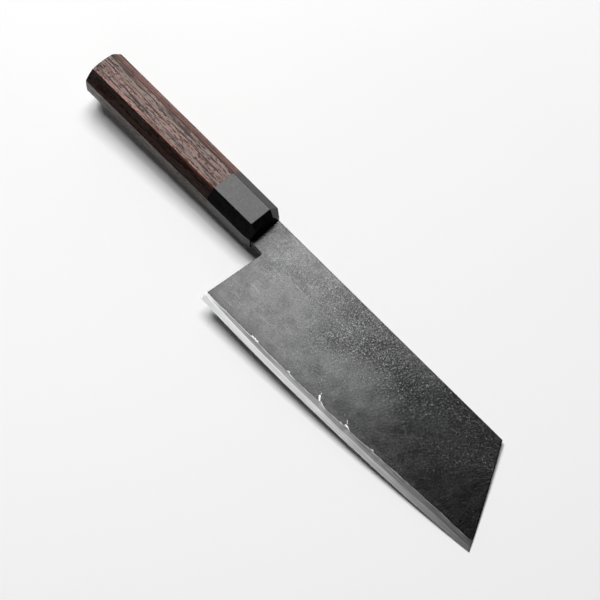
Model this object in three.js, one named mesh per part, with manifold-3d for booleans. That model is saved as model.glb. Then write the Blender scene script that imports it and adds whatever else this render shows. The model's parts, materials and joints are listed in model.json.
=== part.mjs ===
// Kitchen knife with a clipped tip: a three-layer forged blade in an eight-sided wooden handle.
// Millimetres, +Z up. The knife lies on one side, as it rests on a table: the front of the
// ferrule and the tip touch the table at z = 0, and the butt of the handle stands clear of it.
//
// The pieces are built in the knife's own frame and laid down at the end. In that frame x = 0 is
// the front face of the ferrule, +X points to the tip, +Y to the spine, and z = 0 is the middle
// of the blade's thickness.

import * as THREE from 'three';
import { mergeVertices } from 'three/addons/utils/BufferGeometryUtils.js';
import Module from 'manifold-3d';

// ---------------------------------------------------------------- driving dimensions

// Handle and ferrule: an eight-sided bar that grows a little towards the butt.
const HANDLE_LENGTH = 126;
const FERRULE_LENGTH = 31.5;
const BUTT = { width: 24.2, thickness: 20.1 };
const FRONT = { width: 23.3, thickness: 19.4 };
const CORNER_CUT = 5.3;
const BUTT_STEPS = [{ x: 0, inset: 4.2 }, { x: 0.4, inset: 1.2 }, { x: 0.9, inset: 0 }];
const FERRULE_CHAMFER = { length: 4, spine: 2.6, edge: 0.8, face: 2 };

// Blade outline.
const SPINE_Y = 8.5;
const NECK_LOWER_Y = -10.3;
const NECK_CORNER = new THREE.Vector2(8.75, -10.8);
const HEEL_CORNER = new THREE.Vector2(5.7, -48.8);
const SPINE_CORNER = new THREE.Vector2(158.3, SPINE_Y);
const TIP = new THREE.Vector2(186.7, -42.4);
const CUT_BOW = 0.35;
const EDGE_LOWEST = new THREE.Vector2(42, -49.2);
const EDGE_CURVATURE = 3.2e-4;

// Blade section: half thicknesses, and the heights of the ground bands above the edge.
const SPINE_HALF = { neck: 1.75, tip: 0.9 };
const BEVEL_HALF = { heel: 0.66, tip: 0.44 };
const CORE_HALF = { heel: 0.42, tip: 0.24 };
const EDGE_HALF = 0.04;
const GROUND_BAND = { heel: 5.6, tip: 5.2 };
const CORE_BAND = { heel: 3.4, tip: 2.5 };
const CLADDING_LIP = 0.06;

// Tang, and the bored and slotted joint that holds it.
const TANG = { length: 72, frontHeight: 10, backHeight: 6, backHalf: 1 };
const SLOT_CLEARANCE = 0.55;
const SLOT_DEPTH = 75;
const FRONT_WALL = 5;
const BORE = { radius: 7, depth: 80, cone: 4 };
const DOWEL = { radius: 6.7, length: 72.5, chamfer: 1 };
const SEAL_RECESS = 0.4;

// Gaps between pieces that are forged, glued or pressed together.
const WELD_GAP = 0.05;
const JOINT_GAP = 0.05;
const GLUE_GAP = 0.3;

// Fineness.
const BLADE_STATIONS = 26;
const TANG_STATIONS = 4;
const ROUND_SEGMENTS = 40;

const wasm = await Module();
wasm.setup();

const lerp = THREE.MathUtils.lerp;

// ---------------------------------------------------------------- mesh helpers

/** An indexed geometry with only positions, shared vertices merged and no empty triangles. */
function cleaned(geometry) {
  const bare = geometry.clone();
  bare.deleteAttribute('normal');
  bare.deleteAttribute('uv');
  const merged = mergeVertices(bare, 1e-5);
  const corners = merged.getIndex().array;
  const kept = [];
  for (let i = 0; i < corners.length; i += 3) {
    const [a, b, c] = corners.slice(i, i + 3);
    if (a !== b && b !== c && c !== a) kept.push(a, b, c);
  }
  merged.setIndex(kept);
  return merged;
}

function geometryFrom(vertices, triangles) {
  const geometry = new THREE.BufferGeometry();
  geometry.setAttribute('position', new THREE.Float32BufferAttribute(vertices.flat(), 3));
  geometry.setIndex(triangles.flat());
  return geometry;
}

function toSolid(geometry) {
  const closed = cleaned(geometry);
  const vertProperties = new Float32Array(closed.getAttribute('position').array);
  const triVerts = new Uint32Array(closed.getIndex().array);
  return new wasm.Manifold(new wasm.Mesh({ numProp: 3, vertProperties, triVerts }));
}

function toGeometry(solid) {
  const mesh = solid.getMesh();
  const geometry = new THREE.BufferGeometry();
  geometry.setAttribute('position', new THREE.BufferAttribute(mesh.vertProperties, 3));
  geometry.setIndex(Array.from(mesh.triVerts));
  return geometry;
}

/** The first geometry with each of the others cut out of it. */
function cut(body, ...tools) {
  return toGeometry(tools.reduce((rest, tool) => rest.subtract(toSolid(tool)), toSolid(body)));
}

/** A closed skin over sections, each a ring of [x, y, z], ordered along +X. */
function loft(sections) {
  const sides = sections[0].length;
  const triangles = [];
  for (let s = 0; s + 1 < sections.length; s += 1) {
    for (let i = 0; i < sides; i += 1) {
      const here = s * sides + i;
      const next = s * sides + ((i + 1) % sides);
      triangles.push([here, next, next + sides], [here, next + sides, here + sides]);
    }
  }
  const last = (sections.length - 1) * sides;
  for (let i = 1; i + 1 < sides; i += 1) {
    triangles.push([0, i + 1, i], [last, last + i, last + i + 1]);
  }
  return geometryFrom(sections.flat(), triangles.map(([a, b, c]) => [a, c, b]));
}

/** A ring of four corners around the X axis. */
function boxRing(x, halfHeight, halfThickness) {
  return [
    [x, halfHeight, halfThickness],
    [x, halfHeight, -halfThickness],
    [x, -halfHeight, -halfThickness],
    [x, -halfHeight, halfThickness],
  ];
}

/** A body turned about the X axis, from [x, radius] points that start and end on the axis. */
function turned(profile) {
  const points = profile.map(([x, radius]) => new THREE.Vector2(radius, x));
  return new THREE.LatheGeometry(points, ROUND_SEGMENTS).rotateZ(-Math.PI / 2);
}

/**
 * A thin closed plate over rows of points that run along +X, the first row at the top (+Y).
 * Neighbouring rows are joined where both have a point of the same station.
 */
function plate(rows, topOf, bottomOf) {
  const points = [];
  const numberOf = new Map();
  for (const row of rows) {
    for (const point of row) {
      if (numberOf.has(point)) continue;
      numberOf.set(point, points.length);
      points.push(point);
    }
  }
  const faces = [];
  for (let r = 0; r + 1 < rows.length; r += 1) {
    const upper = new Map(rows[r].map((point) => [point.station, point]));
    const lower = rows[r + 1].filter((point) => upper.has(point.station));
    for (let i = 0; i + 1 < lower.length; i += 1) {
      const [c, d] = [lower[i], lower[i + 1]].map((point) => numberOf.get(point));
      const [a, b] = [lower[i], lower[i + 1]].map((point) => numberOf.get(upper.get(point.station)));
      faces.push([a, c, d], [a, d, b]);
    }
  }
  const count = points.length;
  const vertices = [
    ...points.map((point) => [point.x, point.y, topOf(point)]),
    ...points.map((point) => [point.x, point.y, bottomOf(point)]),
  ];
  const directed = new Set(faces.flatMap(([a, b, c]) => [`${a},${b}`, `${b},${c}`, `${c},${a}`]));
  const walls = [];
  for (const edge of directed) {
    const [from, to] = edge.split(',').map(Number);
    if (directed.has(`${to},${from}`)) continue;
    walls.push([from + count, to + count, to], [from + count, to, from]);
  }
  const undersides = faces.map(([a, b, c]) => [a + count, c + count, b + count]);
  return geometryFrom(vertices, [...faces, ...undersides, ...walls]);
}

// ---------------------------------------------------------------- handle

/** Width and thickness of the handle's section, which grow evenly from the ferrule to the butt. */
function handleSize(x) {
  const share = -x / HANDLE_LENGTH;
  return {
    width: lerp(FRONT.width, BUTT.width, share),
    thickness: lerp(FRONT.thickness, BUTT.thickness, share),
  };
}

/** The eight-sided section at x, drawn in by an inset on its spine, edge and flat sides. */
function octagon(x, inset = { spine: 0, edge: 0, face: 0 }) {
  const { width, thickness } = handleSize(x);
  const spine = width / 2 - inset.spine;
  const edge = -width / 2 + inset.edge;
  const face = thickness / 2 - inset.face;
  const corner = CORNER_CUT - (2 - Math.SQRT2) * inset.face;
  return [
    [x, spine, face - corner],
    [x, spine, corner - face],
    [x, spine - corner, -face],
    [x, edge + corner, -face],
    [x, edge, corner - face],
    [x, edge, face - corner],
    [x, edge + corner, face],
    [x, spine - corner, face],
  ];
}

function handleWood() {
  const joint = -FERRULE_LENGTH - JOINT_GAP / 2;
  const butt = BUTT_STEPS.map(({ x, inset }) =>
    octagon(x - HANDLE_LENGTH, { spine: inset, edge: inset, face: inset }));
  const bore = turned([
    [-BORE.depth - BORE.cone, 0],
    [-BORE.depth, BORE.radius],
    [joint + 1, BORE.radius],
    [joint + 1, 0],
  ]);
  return cut(loft([...butt, octagon(joint)]), bore);
}

function ferrule() {
  const joint = -FERRULE_LENGTH + JOINT_GAP / 2;
  const body = loft([
    octagon(joint),
    octagon(-FERRULE_CHAMFER.length),
    octagon(0, FERRULE_CHAMFER),
  ]);
  const bore = turned([
    [joint - 1, 0],
    [joint - 1, BORE.radius],
    [-FRONT_WALL, BORE.radius],
    [-FRONT_WALL, 0],
  ]);
  return cut(body, bore, slotBlock(-FRONT_WALL - 1, 1, SLOT_CLEARANCE));
}

// ---------------------------------------------------------------- tang joint

function tangHeight(x) {
  return lerp(TANG.frontHeight, TANG.backHeight, THREE.MathUtils.clamp(-x / TANG.length, 0, 1));
}

function tangHalf(x) {
  return lerp(SPINE_HALF.neck, TANG.backHalf, THREE.MathUtils.clamp(-x / TANG.length, 0, 1));
}

/** A tapered block that follows the tang, grown by a margin all round. */
function slotBlock(fromX, toX, margin) {
  const stations = [fromX, toX].map((x) =>
    boxRing(x, tangHeight(x) / 2 + margin, tangHalf(x) + margin));
  return loft(stations);
}

function handleDowel() {
  const front = -FRONT_WALL - GLUE_GAP;
  const back = front - DOWEL.length;
  const bar = turned([
    [back, 0],
    [back, DOWEL.radius - DOWEL.chamfer],
    [back + DOWEL.chamfer, DOWEL.radius],
    [front, DOWEL.radius],
    [front, 0],
  ]);
  return cut(bar, slotBlock(-SLOT_DEPTH, front + 1, SLOT_CLEARANCE));
}

function tangBedding() {
  const front = -FRONT_WALL - GLUE_GAP;
  const fill = slotBlock(-SLOT_DEPTH + JOINT_GAP, front, SLOT_CLEARANCE - JOINT_GAP);
  return cut(fill, slotBlock(-TANG.length - JOINT_GAP, front + 1, JOINT_GAP));
}

function mouthSeal() {
  const fill = slotBlock(-FRONT_WALL, -SEAL_RECESS, SLOT_CLEARANCE - JOINT_GAP);
  return cut(fill, slotBlock(-FRONT_WALL - 1, 1, JOINT_GAP));
}

// ---------------------------------------------------------------- blade

/** How far along the blade x lies, from 0 at the heel to 1 at the tip. */
function along(x) {
  return THREE.MathUtils.clamp((x - HEEL_CORNER.x) / (TIP.x - HEEL_CORNER.x), 0, 1);
}

function edgeY(x) {
  return EDGE_LOWEST.y + EDGE_CURVATURE * (x - EDGE_LOWEST.x) ** 2;
}

function heelX(y) {
  const share = (y - NECK_CORNER.y) / (HEEL_CORNER.y - NECK_CORNER.y);
  return lerp(NECK_CORNER.x, HEEL_CORNER.x, Math.max(share, 0));
}

/** The cut at the tip: a straight slant with a slight bow. */
function cutX(y) {
  const share = (y - SPINE_CORNER.y) / (TIP.y - SPINE_CORNER.y);
  return lerp(SPINE_CORNER.x, TIP.x, share) + CUT_BOW * 4 * share * (1 - share);
}

/** Where a row that follows rowY ends on a slanted border, found by stepping towards it. */
function meet(rowY, borderX, startX) {
  let x = startX;
  for (let step = 0; step < 6; step += 1) x = borderX(rowY(x));
  return x;
}

/** The blade's outer surface between the spine and the ground band, as a half thickness. */
function skinHalf(x, y) {
  const spine = lerp(SPINE_HALF.neck, SPINE_HALF.tip, Math.max(x, 0) / SPINE_CORNER.x);
  const bevel = lerp(BEVEL_HALF.heel, BEVEL_HALF.tip, along(x));
  const bandTop = edgeY(x) + lerp(GROUND_BAND.heel, GROUND_BAND.tip, along(x));
  return lerp(spine, bevel, (SPINE_Y - y) / (SPINE_Y - bandTop));
}

function coreHalf(x) {
  return lerp(CORE_HALF.heel, CORE_HALF.tip, along(x));
}

/** A point of the blade: its place, its station along the row, and both half thicknesses. */
function bladePoint(station, x, y, skin = skinHalf(x, y), core = coreHalf(x)) {
  return { station, x, y, skin, core };
}

function bladeRow(rowY, pointAt) {
  const from = meet(rowY, heelX, HEEL_CORNER.x);
  const to = meet(rowY, cutX, TIP.x);
  return Array.from({ length: BLADE_STATIONS + 1 }, (_, station) => {
    const x = lerp(from, to, station / BLADE_STATIONS);
    return pointAt(station, x, rowY(x));
  });
}

/** The blade's rows from the spine to the edge, with the neck and the tang in front of them. */
function bladeRows() {
  const shoulder = JOINT_GAP;
  const neckYs = [SPINE_Y, TANG.frontHeight / 2, -TANG.frontHeight / 2, NECK_CORNER.y];
  const upper = neckYs.map((y) => bladeRow(() => y, bladePoint));
  const shoulderYs = [...neckYs.slice(0, 3), NECK_LOWER_Y];
  upper.forEach((row, r) => row.unshift(bladePoint(-1, shoulder, shoulderYs[r])));
  for (let step = 1; step <= TANG_STATIONS; step += 1) {
    const x = (-TANG.length * step) / TANG_STATIONS;
    for (const [row, side] of [[upper[1], 1], [upper[2], -1]]) {
      const y = (side * tangHeight(x)) / 2;
      row.unshift(bladePoint(-1 - step, x, y, tangHalf(x), CORE_HALF.heel));
    }
  }
  const groundY = (x) => edgeY(x) + lerp(GROUND_BAND.heel, GROUND_BAND.tip, along(x));
  const coreY = (x) => edgeY(x) + lerp(CORE_BAND.heel, CORE_BAND.tip, along(x));
  const lamination = (station, x, y) =>
    bladePoint(station, x, y, coreHalf(x) + WELD_GAP + CLADDING_LIP);
  return {
    clad: [...upper, bladeRow(groundY, bladePoint), bladeRow(coreY, lamination)],
    edge: bladeRow(edgeY, (station, x, y) => bladePoint(station, x, y, EDGE_HALF, EDGE_HALF)),
  };
}

const blade = bladeRows();

function coreSteel() {
  return plate([...blade.clad, blade.edge], (p) => p.core, (p) => -p.core);
}

function claddingUpper() {
  return plate(blade.clad, (p) => p.skin, (p) => p.core + WELD_GAP);
}

function claddingLower() {
  return plate(blade.clad, (p) => -p.core - WELD_GAP, (p) => -p.skin);
}

// ---------------------------------------------------------------- resting pose

/** The nose-down lean at which the lower side of the blade first meets the table. */
function restingPitch() {
  const contactX = -FERRULE_CHAMFER.length;
  const handleHalf = handleSize(contactX).thickness / 2;
  const leans = blade.clad.flat().filter((p) => p.x > NECK_CORNER.x)
    .map((p) => Math.atan2(handleHalf - p.skin, p.x - contactX));
  return Math.min(...leans);
}

// ---------------------------------------------------------------- assembly

const HORN = { color: 0x1b1b1b, roughness: 0.5, metalness: 0 };
const ROSEWOOD = { color: 0x4a261c, roughness: 0.6, metalness: 0 };
const PALE_WOOD = { color: 0xc9a877, roughness: 0.8, metalness: 0 };
const EPOXY = { color: 0xd9cfae, roughness: 0.35, metalness: 0 };
const WAX = { color: 0x2a2420, roughness: 0.6, metalness: 0 };
const CORE_STEEL = { color: 0xc4c6c8, roughness: 0.22, metalness: 1 };
const FORGE_BLACK = { color: 0x38393b, roughness: 0.55, metalness: 0.9 };

const knife = new THREE.Group();

function add(name, geometry, look) {
  const mesh = new THREE.Mesh(cleaned(geometry), new THREE.MeshStandardMaterial(look));
  mesh.name = name;
  knife.add(mesh);
}

add('core_steel', coreSteel(), CORE_STEEL);
add('cladding_upper', claddingUpper(), FORGE_BLACK);
add('cladding_lower', claddingLower(), FORGE_BLACK);
add('ferrule', ferrule(), HORN);
add('handle_wood', handleWood(), ROSEWOOD);
add('handle_dowel', handleDowel(), PALE_WOOD);
add('tang_bedding', tangBedding(), EPOXY);
add('mouth_seal', mouthSeal(), WAX);
knife.rotation.y = restingPitch();

/** The part, with its origin at the middle of its footprint on the table. */
const part = new THREE.Group();
part.add(knife);
part.updateMatrixWorld(true);
const box = new THREE.Box3().setFromObject(part, true);
const middle = box.getCenter(new THREE.Vector3());
knife.position.set(-middle.x, -middle.y, -box.min.z);

export default part;
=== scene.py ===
"""A kitchen knife lying on a pale table: a forged three-layer blade in an octagonal wooden handle.

Lengths are millimetres in the knife's own frame until a mesh is made: x = 0 at the front face of
the ferrule, +X to the tip, +Y to the spine, z = 0 in the middle of the blade. KNIFE takes that
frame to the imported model's frame, in metres.
"""
import json
import math

import bpy
import numpy as np
from mathutils import Matrix, Vector, noise


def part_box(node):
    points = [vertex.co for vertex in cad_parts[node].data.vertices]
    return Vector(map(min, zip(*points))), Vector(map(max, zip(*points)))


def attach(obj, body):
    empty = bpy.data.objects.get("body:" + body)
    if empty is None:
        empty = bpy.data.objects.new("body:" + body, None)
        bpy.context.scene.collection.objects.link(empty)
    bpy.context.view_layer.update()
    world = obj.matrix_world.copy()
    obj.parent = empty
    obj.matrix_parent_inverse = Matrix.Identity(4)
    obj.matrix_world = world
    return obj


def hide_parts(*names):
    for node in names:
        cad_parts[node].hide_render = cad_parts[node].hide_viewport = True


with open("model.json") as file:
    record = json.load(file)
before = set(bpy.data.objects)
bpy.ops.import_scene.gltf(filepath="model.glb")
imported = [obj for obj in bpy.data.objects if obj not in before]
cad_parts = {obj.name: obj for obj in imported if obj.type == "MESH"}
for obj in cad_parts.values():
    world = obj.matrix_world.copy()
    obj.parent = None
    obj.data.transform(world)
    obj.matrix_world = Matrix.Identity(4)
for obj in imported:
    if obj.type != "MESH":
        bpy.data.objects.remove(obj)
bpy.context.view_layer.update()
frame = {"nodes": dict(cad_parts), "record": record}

MM = 0.001

# ---------------------------------------------------------------- dimensions

HANDLE_LENGTH = 126.0
FERRULE_LENGTH = 31.5
BUTT_WIDTH, BUTT_THICKNESS = 24.2, 20.1
FRONT_WIDTH, FRONT_THICKNESS = 23.3, 19.4
CORNER_CUT = 5.3
BUTT_INSET = 4.2
CHAMFER_LENGTH = 4.0
CHAMFER_SPINE, CHAMFER_EDGE, CHAMFER_FACE = 2.6, 0.8, 2.0
BORE_RADIUS = 7.0
BORE_DEPTH = 80.0
BORE_POINT = 3.5
BORE_POINT_SHARE = 0.12
FRONT_WALL = 5.0
SLOT_HALF_HEIGHT, SLOT_HALF_WIDTH = 5.5, 2.25

SPINE_Y = 8.5
NECK_LOWER_Y = -10.3
NECK_CORNER = (8.75, -10.8)
HEEL_CORNER = (5.7, -48.8)
SPINE_CORNER = (158.3, SPINE_Y)
TIP = (186.7, -42.4)
CUT_BOW = 0.35
EDGE_LOWEST = (42.0, -49.2)
EDGE_CURVATURE = 3.2e-4

SPINE_HALF_NECK, SPINE_HALF_TIP = 1.75, 0.9
BEVEL_HALF_HEEL, BEVEL_HALF_TIP = 0.66, 0.44
EDGE_HALF = 0.04
TANG_LENGTH = 72.0
TANG_FRONT_HEIGHT, TANG_BACK_HEIGHT = 10.0, 6.0
TANG_BACK_HALF = 1.0
TANG_CORE_HALF = 0.6 * BEVEL_HALF_HEEL
SHOULDER_X = 0.05


def lerp(a, b, t):
    return a + (b - a) * t


def handle_size(x):
    """Width (along Y) and thickness (along Z) of the octagon at x."""
    share = -x / HANDLE_LENGTH
    return lerp(FRONT_WIDTH, BUTT_WIDTH, share), lerp(FRONT_THICKNESS, BUTT_THICKNESS, share)


def knife_matrix():
    """From the knife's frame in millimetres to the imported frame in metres."""
    mounts = {mount["name"]: mount for mount in frame["record"]["mounts"]}
    flat = mounts["handle_flat"]["axis"]
    taper = math.atan((BUTT_THICKNESS - FRONT_THICKNESS) / 2 / HANDLE_LENGTH)
    lean = math.asin(-flat[0]) + taper
    turn = Matrix.Rotation(lean, 4, "Y")
    butt = turn @ Vector((-HANDLE_LENGTH, 0, BUTT_INSET - BUTT_THICKNESS / 2))
    contact = turn @ Vector((-CHAMFER_LENGTH, 0, -handle_size(-CHAMFER_LENGTH)[1] / 2))
    shift = Vector((
        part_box("handle_wood")[0].x / MM - butt.x,
        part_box("core_steel")[1].y / MM - SPINE_Y,
        -contact.z,
    ))
    return Matrix.Scale(MM, 4) @ Matrix.Translation(shift) @ turn


KNIFE = knife_matrix()


# ---------------------------------------------------------------- smooth shapes

# Blender's noise stays well inside -1 to 1, so it is stretched.
WAVE_GAIN, FIELD_GAIN = 1.6, 1.5
SEED_SKEW = 0.37


def smoothstep(value, low, high):
    """0 up to low, 1 from high on, and smooth in between."""
    t = np.clip((value - low) / (high - low), 0, 1)
    return t * t * (3 - 2 * t)


def wave(x, length, seed):
    """A smooth random wave along the blade, about -1 to 1."""
    flat = np.atleast_1d(np.asarray(x, float))
    values = [noise.noise(Vector((v / length, seed, SEED_SKEW * seed))) for v in flat.ravel()]
    return WAVE_GAIN * np.array(values).reshape(flat.shape)


def field(grid, length, height, seed):
    """Smooth noise over the blade, about -1 to 1."""
    points = zip((grid.x / length).ravel(), (grid.y / height).ravel())
    values = [noise.noise(Vector((px, py, seed))) for px, py in points]
    return FIELD_GAIN * np.array(values).reshape(grid.x.shape)


# ---------------------------------------------------------------- camera

TARGET = Vector((0.00941, 0.00526, 0.008))
CAMERA_AZIMUTH, CAMERA_ELEVATION = math.radians(47.24), math.radians(62.47)
CAMERA_DISTANCE = 0.9
LENS = 109.85
SENSOR_WIDTH = 36


def direction(azimuth, elevation):
    """The way from the object to a viewer: azimuth 0 is -Y, and it turns towards +X."""
    level = math.cos(elevation)
    return Vector((math.sin(azimuth) * level, -math.cos(azimuth) * level, math.sin(elevation)))


def aim(obj, towards, distance, target):
    obj.location = target + towards.normalized() * distance
    obj.rotation_euler = towards.to_track_quat("Z", "Y").to_euler()


def make_camera():
    camera = bpy.data.objects.new("camera", bpy.data.cameras.new("camera"))
    bpy.context.scene.collection.objects.link(camera)
    camera.data.lens = LENS
    camera.data.sensor_width = SENSOR_WIDTH
    camera.data.clip_start = 0.01
    camera.data.clip_end = 50
    aim(camera, direction(CAMERA_AZIMUTH, CAMERA_ELEVATION), CAMERA_DISTANCE, TARGET)
    bpy.context.scene.camera = camera


make_camera()


# ---------------------------------------------------------------- blade outline

def along(x):
    """The share of the way from the heel to the tip."""
    return np.clip((x - HEEL_CORNER[0]) / (TIP[0] - HEEL_CORNER[0]), 0, 1)


def edge_y(x):
    return EDGE_LOWEST[1] + EDGE_CURVATURE * (x - EDGE_LOWEST[0]) ** 2


def heel_x(y):
    share = (y - NECK_CORNER[1]) / (HEEL_CORNER[1] - NECK_CORNER[1])
    return lerp(NECK_CORNER[0], HEEL_CORNER[0], np.maximum(share, 0))


def cut_x(y):
    share = (y - SPINE_CORNER[1]) / (TIP[1] - SPINE_CORNER[1])
    return lerp(SPINE_CORNER[0], TIP[0], share) + CUT_BOW * 4 * share * (1 - share)


def neck_edge_y(x):
    """The neck's lower edge, held beyond its two ends."""
    return lerp(NECK_LOWER_Y, NECK_CORNER[1], np.clip(x / NECK_CORNER[0], 0, 1))


# Height above the edge of the line where the forge scale ends, at a few places along the blade.
SCALE_LINE_X = (5, 35, 59, 85, 105, 130, 162, 175, 187)
SCALE_LINE_HEIGHT = (4.35, 5.0, 5.0, 5.1, 4.95, 5.7, 5.6, 5.1, 4.55)
# The same for the line where the core steel comes out from under the cladding.
CORE_LINE_X = (5, 35, 60, 85, 105, 130, 162, 175, 187)
CORE_LINE_HEIGHT = (2.9, 2.6, 2.6, 2.55, 2.55, 2.5, 2.55, 2.3, 1.5)
# Ripples on the two lines: size, length and seed.
SCALE_RIPPLES = ((0.16, 8.0, 3.1), (0.1, 2.6, 7.7))
CORE_RIPPLES = ((0.14, 13.0, 5.3), (0.05, 4.0, 9.1))
# Where the scale line kicks up: place along the blade, rise, and run before and after it.
KICKS = ((40.5, 0.45, 2.5, 1.0), (64.5, 0.5, 3.0, 1.2), (86.5, 1.0, 6.0, 1.6),
         (104.8, 0.9, 4.5, 1.4), (120.6, 0.5, 3.0, 1.2), (143.0, 0.3, 5.0, 2.0))
SLOPE_REACH, SLOPE_SAMPLES = 9, 7


def smooth_table(x, places, heights):
    """Heights between the places, rounded off where the slope changes."""
    offsets = np.linspace(-SLOPE_REACH, SLOPE_REACH, SLOPE_SAMPLES)
    return np.mean([np.interp(x + offset, places, heights) for offset in offsets], axis=0)


def rippled(x, ripples):
    """The sum of several waves."""
    return sum(size * wave(x, length, seed) for size, length, seed in ripples)


def scale_height(x):
    """How far above the edge the forge scale ends."""
    x = np.asarray(x, float)
    height = smooth_table(x, SCALE_LINE_X, SCALE_LINE_HEIGHT) + rippled(x, SCALE_RIPPLES)
    for place, rise, before, after in KICKS:
        run = np.where(x < place, before, after)
        height = height + rise * np.exp(-np.abs(x - place) / run)
    return height


def core_height(x):
    """How far above the edge the core steel comes out from under the cladding."""
    return smooth_table(x, CORE_LINE_X, CORE_LINE_HEIGHT) + rippled(x, CORE_RIPPLES)


# ---------------------------------------------------------------- blade thickness

def face_half(x, y):
    """Half thickness of the forged face, which thins towards the tip and towards the edge."""
    spine = lerp(SPINE_HALF_NECK, SPINE_HALF_TIP, np.maximum(x, 0) / SPINE_CORNER[0])
    bevel = lerp(BEVEL_HALF_HEEL, BEVEL_HALF_TIP, along(x))
    top = edge_y(x) + scale_height(x)
    return lerp(spine, bevel, (SPINE_Y - y) / (SPINE_Y - top))


def bevel_half(x, height):
    """Half thickness of the ground band, straight from the scale line down to the edge."""
    top = scale_height(x)
    at_top = lerp(BEVEL_HALF_HEEL, BEVEL_HALF_TIP, along(x))
    return lerp(EDGE_HALF, at_top, height / top)


def core_half(x):
    """Half thickness of the core steel where it goes under the cladding."""
    return bevel_half(x, core_height(x))


# ---------------------------------------------------------------- mesh helpers

SHARP_ANGLE = 32
# Distances from both ends of a row of points, closer together than the rest.
END_STEPS = np.array((0.0, 0.06, 0.14, 0.26, 0.42, 0.7))


def new_object(name, vertices, faces, materials, face_material=None):
    """A mesh object from knife-frame millimetres."""
    mesh = bpy.data.meshes.new(name)
    turned = np.asarray(vertices, float) @ np.array(KNIFE.to_3x3()).T + np.array(KNIFE.translation)
    mesh.from_pydata(turned.tolist(), [], faces)
    for material in materials:
        mesh.materials.append(material)
    if face_material is not None:
        mesh.polygons.foreach_set("material_index", np.asarray(face_material, np.int32))
    mesh.polygons.foreach_set("use_smooth", [True] * len(mesh.polygons))
    mesh.update()
    obj = bpy.data.objects.new(name, mesh)
    bpy.context.scene.collection.objects.link(obj)
    return obj


def spaced(length, step):
    """Places from 0 to 1 along a length, a step apart, and closer together at both ends."""
    reach = END_STEPS[-1]
    count = max(int((length - 2 * reach) / step), 2)
    middle = np.linspace(reach, length - reach, count + 1)
    return np.concatenate([END_STEPS[:-1], middle, (length - END_STEPS[:-1])[::-1]]) / length


# ---------------------------------------------------------------- blade grid

# Steps between columns and rows (finer by the line where the scale ends), and column counts.
BLADE_STEP = 0.32
NECK_COLUMNS = 22
TANG_COLUMNS = 8
ROW_STEP = 0.45
LINE_ROW_STEP = 0.16
LINE_ROWS_DEPTH = 4.8
ROW_CLEARANCE = 0.1
# Keeps the outline a few micrometres inside the CAD's.
BLADE_DRAWN_IN = 0.9999
MEET_STEPS = 6
# Tolerances for shares of a height and for millimetres, and a distance that never counts.
TINY, NECK_TINY = 1e-9, 1e-6
FAR = 1e3
# The cosine of the cut's slant from square, for distances measured square to it.
CUT_SLANT = 0.87


def meet(row_y, border_x, start_x):
    """The x where a row meets a border, found by going from one to the other."""
    x = np.array([float(start_x)])
    for _ in range(MEET_STEPS):
        x = border_x(row_y(x))
    return float(x[0])


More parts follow.
